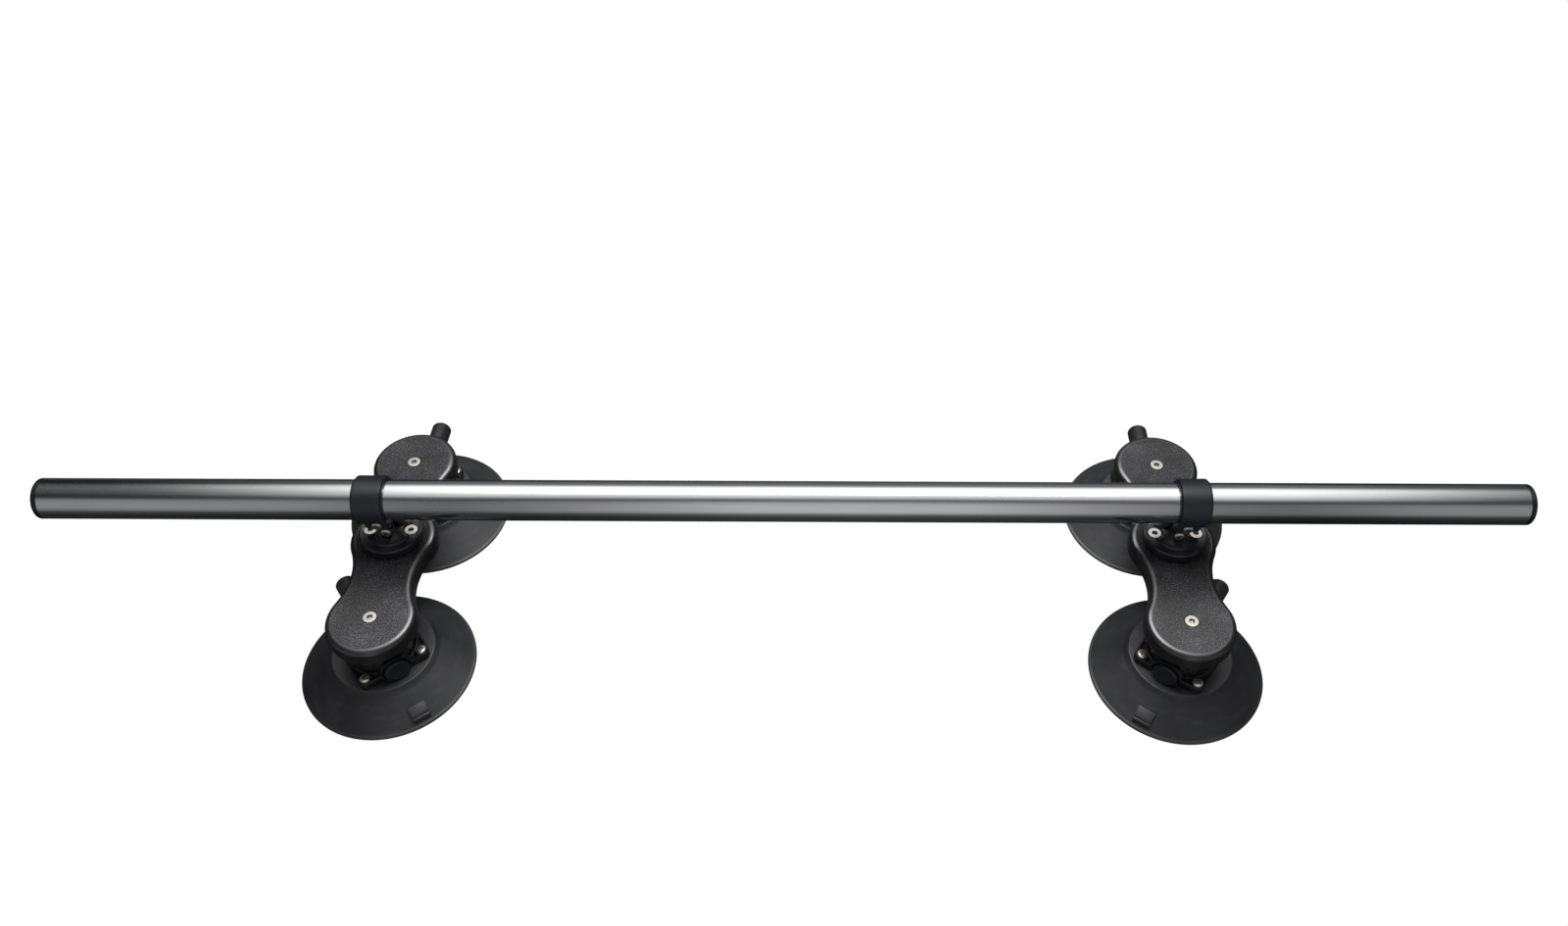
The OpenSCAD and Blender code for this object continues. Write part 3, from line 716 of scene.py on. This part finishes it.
# ---------------------------------------------------------------- base disc
def disc_sdf(x, y, z):
    r = norm2(x, y)
    d = extrude(r - 27.8, np.abs(z - 78.4) - 4.1, 1.0)
    # shallow dish between the outer rim and the platform
    rim_lip = norm2(np.maximum(np.abs(r - 26.6) - 0.35, 0), z - 82.25) - 0.55
    d = smin(d, rim_lip, 0.6)
    plat = extrude(r - 19.2, np.abs(z - 80) - 3.7, 0.7)
    d = smin(d, plat, 1.4)
    # flared gussets: a trumpet about z, kept to a bow-tie in plan
    q = np.clip((94.5 - z) / 11.0, 0, 1)
    flare = r - (9.6 + 9.2 * q ** 3.0)
    flare = smax(flare, z - 93.2, 2.0)
    bow = (np.abs(x) - 12.4 - 0.55 * np.abs(y)) / 1.141
    flare = smax(flare, bow, 0.8)
    d = smin(d, smax(flare, 80 - z, 0.5), 1.8)
    # ears, round over the pivot
    e2 = np.hypot(x, z - PIVOT_Z) - 5.35
    flank = (np.abs(x) - (10.4 - (z - 83.5) * 0.50)) / 1.118
    flank = np.maximum(np.maximum(flank, 80 - z), z - (PIVOT_Z + 1.2))
    ears = np.maximum(smin(e2, flank, 2.0), np.abs(y) - (9 - 0.02))
    d = smin(d, ears, 0.8)
    # slot, pivot hole, recesses
    d = smax(d, -np.maximum(np.abs(y) - 4.12, 84.0 - z), 0.5)
    pr = norm2(x, z - PIVOT_Z)
    d = smax(d, 2.56 - pr, 0.2)
    pocket = smin(pr - 5.6, np.maximum(np.abs(x) - 5.6, PIVOT_Z - z), 0.5)
    pocket = np.maximum(pocket, 9.0 - np.abs(y))
    d = smax(d, -pocket, 0.9)
    # countersunk seats
    for sx in (-SCREW_X, SCREW_X):
        rr = norm2(x - sx, y)
        d = smax(d, -np.maximum(rr - 6.1, 82.48 - z), 0.35)
        d = smax(d, -np.maximum((rr - 5.95 - (z - 82.08)) * 0.7071, 78 - z), 0.0)
        d = smax(d, 3.06 - rr, 0.0)
    return d


P, Q, N = net(disc_sdf, (-29, -29, 73.6), (29, 29, 96.5), 0.5)
disc_mesh = {1: mesh_from("disc_right", P, Q, N), -1: mesh_from("disc_left", P, Q, N, flip=True)}

# ---------------------------------------------------------------- bracket
CY = CUPS / 4
RF = (WAIST ** 2 + CY ** 2 - LOBE_R ** 2) / (2 * (LOBE_R - WAIST))
CX = WAIST + RF
ROLL = 5.4


def plan(x, y):
    """Distance to the bracket's outline: lobes at y = 0 and +-2 CY, concave waists between."""
    ax, ay = np.abs(x), np.abs(y)
    t = CY - np.abs(ay - CY)
    lobe = norm2(ax, t) - LOBE_R
    waist = RF - norm2(ax - CX, t - CY)
    return np.where(t * CX > ax * CY, waist, lobe)


def bracket_sdf(x, y, z):
    p = plan(x, y)
    mid = 66.0
    hz = np.abs(z - mid) - (TOP - mid)          # symmetric about mid, so top and underside can differ
    top = extrude(p, hz, ROLL)
    low = extrude(p, hz, 1.6)
    d = np.where(z > mid, top, low)
    d = smax(d, 58.0 - z, 1.4)
    ty = np.abs(y) - 2 * CY
    r = norm2(x, ty)
    d = smax(d, -np.maximum(r - 31.0, z - 66.0), 0.8)
    pocket = np.maximum(rect(x, np.abs(y) - 32.0, 20, 17, 5), z - 67.0)
    d = smax(d, -pocket, 1.2)
    rr = norm2(x, ty)
    d = np.maximum(d, -np.maximum((rr - 5.92 - (z - TOP + 0.40)) * 0.7071, 69.5 - z))
    d = np.maximum(d, 3.04 - rr)
    for sx in (-SCREW_X, SCREW_X):
        d = np.maximum(d, 3.04 - norm2(x - sx, y))
    return d


def bracket_values(P):
    inset = -plan(P[:, 0], P[:, 1])
    flat = np.clip((inset - 4.9) / 0.9, 0, 1) * (P[:, 2] > TOP - 0.5)
    return {"flat": flat}


bracket_mesh = sdf_mesh("bracket_skin", bracket_sdf, (-40, -2 * CY - 40, 57), (40, 2 * CY + 40, 75.4), 0.85, value=bracket_values)


# ---------------------------------------------------------------- pump housing
def housing_sdf(x, y, z):
    r = norm2(x, y)
    w = z - PUMP_Z
    fl2 = rect(x, y, 32, 32, 6)
    fl = extrude(fl2, np.abs(z - 30) - 3.5, 0.9)
    drum = extrude(r - 30, np.abs(z - 46.2) - 19.75, 1.2)
    # corner recess: inside the border, outside the drum and the screw boss
    ax, ay = np.abs(x), np.abs(y)
    boss = norm2(ax - PITCH / 2, ay - PITCH / 2)
    hollow = smax(smax(fl2 + 2.0, 31.6 - r, 1.5), 6.1 - boss, 1.2)
    fl = smax(fl, -smax(hollow, 31.3 - z, 0.4), 0.5)
    # thin raised border round each corner and a web each side of the screw
    border = np.maximum(np.abs(fl2 + 1.3) - 0.55, np.abs(z - 33.7) - 0.45)
    border = np.maximum(border, 17.0 - np.minimum(ax, ay))
    fl = smin(fl, border - 0.15, 0.5)
    d = smin(fl, drum, 1.6)
    # a shallow shadow line round the drum above the flange
    ring = norm2(r - 30.2, z - 53.5) - 0.55
    d = smax(d, -ring, 0.4)
    barrel = cyl(x, w, y, 14, -35.5, 38, 0.9)
    barrel = smax(barrel, 26.55 - z, 0.6)
    d = smin(d, barrel, 2.2)
    lip = np.maximum(np.abs(norm2(x, w) - 13.1) - 0.7, np.abs(y + 35.3) - 0.5)
    d = smin(d, np.maximum(lip, 27.0 - z), 0.5)
    pr = norm2(x, w)
    d = smax(d, -np.maximum(pr - 12.0, y + 33.5), 0.5)
    d = smax(d, -np.maximum(pr - 9.15, y - 33.0), 0.2)
    d = smax(d, -np.maximum(pr - 7.8, -y), 0.3)
    # side notches at mid flange
    notch = norm2(ax - 32.6, y) - 2.0
    d = smax(d, -np.maximum(notch, 24 - z), 0.6)
    d = smax(d, -np.maximum(r - 3.1, 51 - z), 0.3)
    return d


housing_mesh = sdf_mesh("housing_skin", housing_sdf, (-33.5, -37.5, 25.3), (33.5, 39.5, 67.2), 0.62)

# ---------------------------------------------------------------- cup
pad_profile = fillet([
    (0, 26.45), (44.6, 26.45, 1.6), (46.6, 24.0, 2.2), (48.6, 22.0, 1.5), (60.0, 13.5), (74.0, 3.3, 0.6), (75.0, 2.9, 0.3),
    (76.2, 2.3, 0.5), (76.2, 0.35, 0.3), (75.6, 0.0, 0.3), (74.6, 0.0), (74.2, 0.7, 0.3), (73.6, 0.7, 0.3), (73.2, 0.0), (69.5, 0.0, 0.8), (68.0, 1.4, 0.5), (45, 17.0, 2.0), (0, 17.0)])
pad = lathe("pad_turned", pad_profile, 192, sharp=40)


def cone_z(r):
    return 2.4 + (75.2 - r) * (23 - 2.4) / (75.2 - 47)


def tab_mesh():
    bm = bmesh.new()
    w = 7.75
    side = [(60.3, cone_z(60.3) - 2.2), (60.3, cone_z(60.3) + 1.0), (61.4, cone_z(61.4) + 1.9), (69.2, cone_z(69.2) + 3.5), (69.6, cone_z(69.6) + 2.7), (70.4, cone_z(70.4) + 2.8),
            (70.8, cone_z(70.8) + 3.7), (72.2, cone_z(72.2) + 3.6), (72.6, cone_z(72.6) - 1.4)]
    a = [bm.verts.new((-w * (1.0 if i < 3 else 0.97), -r, z)) for i, (r, z) in enumerate(side)]
    b = [bm.verts.new((w * (1.0 if i < 3 else 0.97), -r, z)) for i, (r, z) in enumerate(side)]
    bm.faces.new(a)
    bm.faces.new(b[::-1])
    for i in range(len(side)):
        j = (i + 1) % len(side)
        bm.faces.new([a[i], b[i], b[j], a[j]])
    bmesh.ops.recalc_face_normals(bm, faces=bm.faces)
    long_edges = [e for e in bm.edges]
    bmesh.ops.bevel(bm, geom=long_edges, offset=0.35, segments=2, profile=0.5, affect="EDGES", clamp_overlap=True)
    bm.transform(Matrix.Scale(MM, 4))
    me = bpy.data.meshes.new("tab")
    bm.to_mesh(me)
    bm.free()
    finish_mesh(me)
    return me


pad = boolean("pad_with_tab", pad, [(tab_mesh(), Matrix.Identity(4))], "UNION", 32)

# ---------------------------------------------------------------- plug, knob, band, piston
plug = lathe("plug_skin", fillet([
    (0, 27.9), (8.98, 27.9, 0.4), (8.98, 33.55), (11, 33.55, 0.3), (11, 37.9, 0.2), (10.3, 38.9, 0.8), (8.2, 38.95, 0.6), (7.8, 38.7, 0.4), (0, 38.85)]), 96)
knob = lathe("knob_skin", fillet([
    (6.03, 58.8), (8.8, 58.8, 0.25), (9.2, 59.2, 0.25), (9.2, 77.4, 1.7), (8.0, 79.3, 1.3), (6.4, 79.3, 0.3), (5.9, 78.95, 0.4), (0, 79.0)] + [(0, 72.82), (6.03, 72.82)]), 96, along="y")
band_ring = lathe("indicator_skin", fillet([(6.03, 49.55), (7.5, 49.55, 0.2), (7.5, 58.75, 0.2), (6.03, 58.75)], closed=True), 80, along="y")
rod = lathe("piston_skin", fillet([
    (0, 22), (8.93, 22, 0.5), (8.93, 24.5, 0.2), (7.2, 24.5), (7.2, 27.5), (8.93, 27.5, 0.2), (8.93, 30.5, 0.4), (7.46, 30.5), (7.46, 49.5, 0.2), (6, 49.5), (6, 72.8, 0.4), (0, 72.8)]), 80, along="y")


def spring_mesh():
    turns, seg, ring, wire, mean, y0, y1 = 9, 40, 10, 0.75, 6.6, -26.9, 21.0
    n = turns * seg
    a = 2 * math.pi * np.arange(n + 1) / seg
    yy = y0 + (y1 - y0) * np.arange(n + 1) / n
    b = 2 * math.pi * np.arange(ring) / ring
    r = mean + wire * np.cos(b)[None, :]
    P = np.stack([r * np.cos(a)[:, None], yy[:, None] + wire * np.sin(b)[None, :], r * np.sin(a)[:, None]], 2).reshape(-1, 3)
    q = []
    for i in range(n):
        for k in range(ring):
            k2 = (k + 1) % ring
            q.append((i * ring + k, (i + 1) * ring + k, (i + 1) * ring + k2, i * ring + k2))
    bm = bmesh.new()
    vs = [bm.verts.new(Vector(p) * MM) for p in P]
    for f in q:
        bm.faces.new([vs[i] for i in f])
    bm.faces.new(vs[:ring])
    bm.faces.new(vs[-ring:])
    bmesh.ops.recalc_face_normals(bm, faces=bm.faces)
    me = bpy.data.meshes.new("spring_skin")
    bm.to_mesh(me)
    bm.free()
    finish_mesh(me)
    return me


spring = spring_mesh()

# ---------------------------------------------------------------- place the sides
for tag, s in SIDES.items():
    here = T(s * SPACING / 2, 0, GROUND)
    mirror = Matrix.Scale(-1, 4, (1, 0, 0)) if s < 0 else Matrix.Identity(4)
    clamp, base = tag + "_clamp", tag + "_bracket"
    put(tag + "_band", band_mesh[s], clamp, M["clamp"], [tag + "_clamp_band"], here)
    put(tag + "_liner_sleeve", liner, tag + "_liner", M["liner"], [tag + "_clamp_liner"], T(s * (SPACING / 2 + OFF)))
    bolts = join(tag + "_bolts_mesh", [
        (PAN5, T(s * OFF, -10.22, PINCH_Z) @ R(90, "X") @ R(20, "Z")),
        (PAN5, T(0, -9.04, PIVOT_Z) @ R(90, "X") @ R(-10, "Z"))])
    put(tag + "_pinch_and_pivot_bolts", bolts, clamp, M["bolt"], [tag + "_clamp_bolts"], here)
    nuts = join(tag + "_nuts_mesh", [
        (NUT, T(s * OFF, 10.22, PINCH_Z) @ R(-90, "X")),
        (NUT, T(0, 9.04, PIVOT_Z) @ R(-90, "X"))])
    put(tag + "_lock_nuts", nuts, clamp, M["bolt"], [tag + "_clamp_nuts"], here)
    put(tag + "_pivot_base", disc_mesh[s], base, M["disc"], [tag + "_base_disc"], here)
    screws = join(tag + "_flats_mesh", [
        (FLAT, T(-SCREW_X, 0, 82.5) @ R(12, "Z")), (FLAT, T(SCREW_X, 0, 82.5) @ R(40, "Z")),
        (FLAT, T(0, -CUPS / 2, TOP) @ R(25, "Z")), (FLAT, T(0, CUPS / 2, TOP) @ R(5, "Z"))])
    put(tag + "_socket_screws", screws, base, M["steel"], [tag + "_flat_screws"], here)
    put(tag + "_dual_bracket", bracket_mesh, base, M["bracket"], [tag + "_bracket"], here)

# ---------------------------------------------------------------- place the vacuum mounts
for tag, (mx, my, yaw) in MOUNTS.items():
    here = T(mx, my, GROUND) @ Matrix.Rotation(yaw, 4, "Z")
    pump = here @ T(0, 0, PUMP_Z)
    body, moving = tag + "_vacuum_mount", tag + "_plunger"
    # the cup's turn goes into its mesh, so that its box is its true size
    cup = pad.copy()
    cup.transform(Matrix.Rotation(yaw, 4, "Z"))
    put(tag + "_cup", cup, body, M["rubber"], [tag + "_vacuum_pad"], T(mx, my, GROUND))
    put(tag + "_housing", housing_mesh, body, M["housing"], [tag + "_pump_housing"], here)
    corners = [(PAN4, T(sx * PITCH / 2, sy * PITCH / 2, 33.5) @ R(30 * sx + 17 * sy + 8, "Z")) for sx in (-1, 1) for sy in (-1, 1)]
    put(tag + "_corner_screws", join(tag + "_corner_mesh", corners), body, M["bolt"], [tag + "_housing_screws"], here)
    put(tag + "_plug", plug, body, M["plug"], [tag + "_end_plug"], pump @ R(90, "X"))
    put(tag + "_knob", knob, moving, M["knob"], [tag + "_plunger_knob"], pump)
    put(tag + "_orange_band", band_ring, moving, M["orange"], [tag + "_indicator_band"], pump)
    put(tag + "_piston_rod", rod, moving, M["piston"], [tag + "_piston"], pump)
    coil = put(tag + "_return_spring", spring, body, M["steel"], [tag + "_pump_spring"], pump)
    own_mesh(coil)

# CAD nodes that stay as they are get their finish
for n, o in NODES.items():
    for key, mat in (("backing_plate", "brushed"), ("check_valve", "valve"), ("piston_seal", "seal")):
        if n.endswith(key):
            o.data.materials.clear()
            o.data.materials.append(M[mat])

# ---------------------------------------------------------------- stage
def emission_world():
    """White backdrop for the camera; for reflections, a studio with a large overhead light and darker walls."""
    w = bpy.data.worlds.new("studio")
    bpy.context.scene.world = w
    w.use_nodes = True
    t = w.node_tree
    t.nodes.clear()
    out = t.nodes.new("ShaderNodeOutputWorld")
    mixer = t.nodes.new("ShaderNodeMixShader")
    cam_bg, env_bg = t.nodes.new("ShaderNodeBackground"), t.nodes.new("ShaderNodeBackground")
    path = t.nodes.new("ShaderNodeLightPath")
    t.links.new(path.outputs["Is Camera Ray"], mixer.inputs[0])
    t.links.new(env_bg.outputs[0], mixer.inputs[1])
    t.links.new(cam_bg.outputs[0], mixer.inputs[2])
    t.links.new(mixer.outputs[0], out.inputs[0])
    cam_bg.inputs[0].default_value = (1, 1, 1, 1)
    cam_bg.inputs[1].default_value = 1.0
    coord = t.nodes.new("ShaderNodeTexCoord")
    sep = t.nodes.new("ShaderNodeSeparateXYZ")
    t.links.new(coord.outputs["Generated"], sep.inputs[0])
    neg = t.nodes.new("ShaderNodeMath")
    neg.operation = "MULTIPLY"
    neg.inputs[1].default_value = -1
    t.links.new(sep.outputs["Y"], neg.inputs[0])
    ang = t.nodes.new("ShaderNodeMath")
    ang.operation = "ARCTAN2"
    t.links.new(sep.outputs["Z"], ang.inputs[0])
    t.links.new(neg.outputs[0], ang.inputs[1])
    rng = t.nodes.new("ShaderNodeMapRange")
    for i, v in zip((1, 2, 3, 4), (-math.pi, math.pi, 0, 1)):
        rng.inputs[i].default_value = v
    t.links.new(ang.outputs[0], rng.inputs[0])
    ramp = t.nodes.new("ShaderNodeValToRGB")
    # angle up from the front horizon, in degrees, and brightness there
    stops = [(-179, 0.09, 0.05), (-95, 0.035, 0), (-58, 0.05, 0), (-42, 0.09, 0), (-30, 0.16, 0), (-20, 0.42, 0), (-10, 0.58, 0.01), (20, 0.60, 0.01), (40, 0.50, 0), (49, 0.20, 0), (59, 0.17, 0),
             (67, 0.50, 0), (82, 0.95, 0), (95, 1.25, 0), (112, 1.55, 0), (129, 1.50, 0), (138, 0.75, 0.01), (150, 0.20, 0.04), (179, 0.13, 0.05)]
    el = ramp.color_ramp.elements
    while len(el) < len(stops):
        el.new(0.5)
    for e, (deg, v, blue) in zip(el, stops):
        e.position = (deg + 180) / 360
        e.color = (v * (1 - blue), v, v * (1 + 2 * blue), 1)
    t.links.new(rng.outputs[0], ramp.inputs[0])
    # darker walls to the far left and right
    side = t.nodes.new("ShaderNodeMath")
    side.operation = "ABSOLUTE"
    shift = t.nodes.new("ShaderNodeMath")
    shift.operation = "SUBTRACT"
    shift.inputs[1].default_value = 0.03
    t.links.new(sep.outputs["X"], shift.inputs[0])
    t.links.new(shift.outputs[0], side.inputs[0])
    fall = t.nodes.new("ShaderNodeMapRange")
    fall.interpolation_type = "SMOOTHSTEP"
    for i, v in zip((1, 2, 3, 4), (0.33, 0.57, 1.0, 0.06)):
        fall.inputs[i].default_value = v
    t.links.new(side.outputs[0], fall.inputs[0])
    front = t.nodes.new("ShaderNodeValToRGB")
    fe = front.color_ramp.elements
    fstops = [(0.0, 1.0), (0.10, 0.95), (0.20, 0.62), (0.33, 0.24), (0.38, 0.25), (0.45, 0.50), (0.60, 0.50)]
    while len(fe) < len(fstops):
        fe.new(0.5)
    for e, (pos, v) in zip(fe, fstops):
        e.position = pos
        e.color = (v, v, v, 1)
    t.links.new(side.outputs[0], front.inputs[0])
    above = t.nodes.new("ShaderNodeMapRange")
    for i, v in zip((1, 2, 3, 4), (math.radians(48), math.radians(62), 0, 1)):
        above.inputs[i].default_value = v
    t.links.new(ang.outputs[0], above.inputs[0])
    pick = t.nodes.new("ShaderNodeMix")
    t.links.new(above.outputs[0], pick.inputs[0])
    t.links.new(front.outputs[0], pick.inputs[2])
    t.links.new(fall.outputs[0], pick.inputs[3])
    shade = t.nodes.new("ShaderNodeMix")
    shade.data_type = "RGBA"
    shade.blend_type = "MULTIPLY"
    shade.inputs[0].default_value = 1.0
    t.links.new(ramp.outputs[0], shade.inputs[6])
    t.links.new(pick.outputs[0], shade.inputs[7])
    t.links.new(shade.outputs[2], env_bg.inputs[0])
    env_bg.inputs[1].default_value = 1.0


emission_world()


def floor():
    bm = bmesh.new()
    bmesh.ops.create_grid(bm, x_segments=8, y_segments=8, size=6.0)
    me = bpy.data.meshes.new("floor")
    bm.to_mesh(me)
    bm.free()
    o = bpy.data.objects.new("floor", me)
    o.location = (0, 0, GROUND * MM - 0.0003)
    bpy.context.scene.collection.objects.link(o)
    m = bpy.data.materials.new("pale_floor")
    m.use_nodes = True
    t = m.node_tree
    t.nodes.clear()
    out = t.nodes.new("ShaderNodeOutputMaterial")
    diff = t.nodes.new("ShaderNodeBsdfDiffuse")
    diff.inputs[0].default_value = (0.86, 0.86, 0.86, 1)
    dark = t.nodes.new("ShaderNodeBsdfTransparent")
    mixer = t.nodes.new("ShaderNodeMixShader")
    path = t.nodes.new("ShaderNodeLightPath")
    t.links.new(path.outputs["Is Glossy Ray"], mixer.inputs[0])
    t.links.new(diff.outputs[0], mixer.inputs[1])
    t.links.new(dark.outputs[0], mixer.inputs[2])
    white = t.nodes.new("ShaderNodeEmission")
    white.inputs[1].default_value = 1.0
    seen = t.nodes.new("ShaderNodeMixShader")
    t.links.new(path.outputs["Is Camera Ray"], seen.inputs[0])
    t.links.new(mixer.outputs[0], seen.inputs[1])
    t.links.new(white.outputs[0], seen.inputs[2])
    # seen from below, the floor is clear
    geo = t.nodes.new("ShaderNodeNewGeometry")
    under = t.nodes.new("ShaderNodeMixShader")
    t.links.new(geo.outputs["Backfacing"], under.inputs[0])
    t.links.new(seen.outputs[0], under.inputs[1])
    t.links.new(dark.outputs[0], under.inputs[2])
    t.links.new(under.outputs[0], out.inputs[0])
    me.materials.append(m)


floor()


def softbox(name, loc, aim, size, size_y, power, colour=(1, 1, 1)):
    l = bpy.data.lights.new(name, "AREA")
    l.shape = "RECTANGLE"
    l.size, l.size_y = size, size_y
    l.energy = power
    l.color = colour
    o = bpy.data.objects.new(name, l)
    o.location = loc
    o.rotation_euler = (Vector(aim) - Vector(loc)).to_track_quat("-Z", "Y").to_euler()
    bpy.context.scene.collection.objects.link(o)
    return o


softbox("overhead", (0.0, 0.35, 1.9), (0, 0, 0), 1.6, 0.7, 12)
rim = softbox("inboard", (0.0, 0.25, 0.62), (0, 0, -0.05), 0.45, 0.6, 5)
lit = bpy.data.collections.new("rim_lit")
for o in list(bpy.context.scene.objects):
    if o.name.endswith(("_dual_bracket", "_pivot_base", "_cup")):
        lit.objects.link(o)
rim.light_linking.receiver_collection = lit

# ---------------------------------------------------------------- camera
F_PX, PX, PY = 1341.331, 829.5977, 485.3317
PITCH_A, YAW_A, ROLL_A = math.radians(48.007), math.radians(-0.675), math.radians(-0.268)
fwd = Vector((math.sin(YAW_A) * math.cos(PITCH_A), math.cos(YAW_A) * math.cos(PITCH_A), -math.sin(PITCH_A)))
right = Vector((math.cos(YAW_A), -math.sin(YAW_A), 0))
up = right.cross(fwd)
r2 = right * math.cos(ROLL_A) + up * math.sin(ROLL_A)
u2 = up * math.cos(ROLL_A) - right * math.sin(ROLL_A)
cam = bpy.data.cameras.new("camera")
cam.sensor_width = 36
cam.lens = 36 * F_PX / 1600
cam.shift_x = (800 - PX) / 1600
cam.shift_y = (PY - 472.5) / 1600
cam.clip_start, cam.clip_end = 0.05, 50
cam_ob = bpy.data.objects.new("camera", cam)
pos = Vector((36.5778, -746.2746, 985.753 + GROUND)) * MM
cam_ob.matrix_world = Matrix(((r2.x, u2.x, -fwd.x, pos.x), (r2.y, u2.y, -fwd.y, pos.y), (r2.z, u2.z, -fwd.z, pos.z), (0, 0, 0, 1)))
bpy.context.scene.collection.objects.link(cam_ob)
bpy.context.scene.camera = cam_ob
bpy.context.scene.view_settings.view_transform = "Standard"
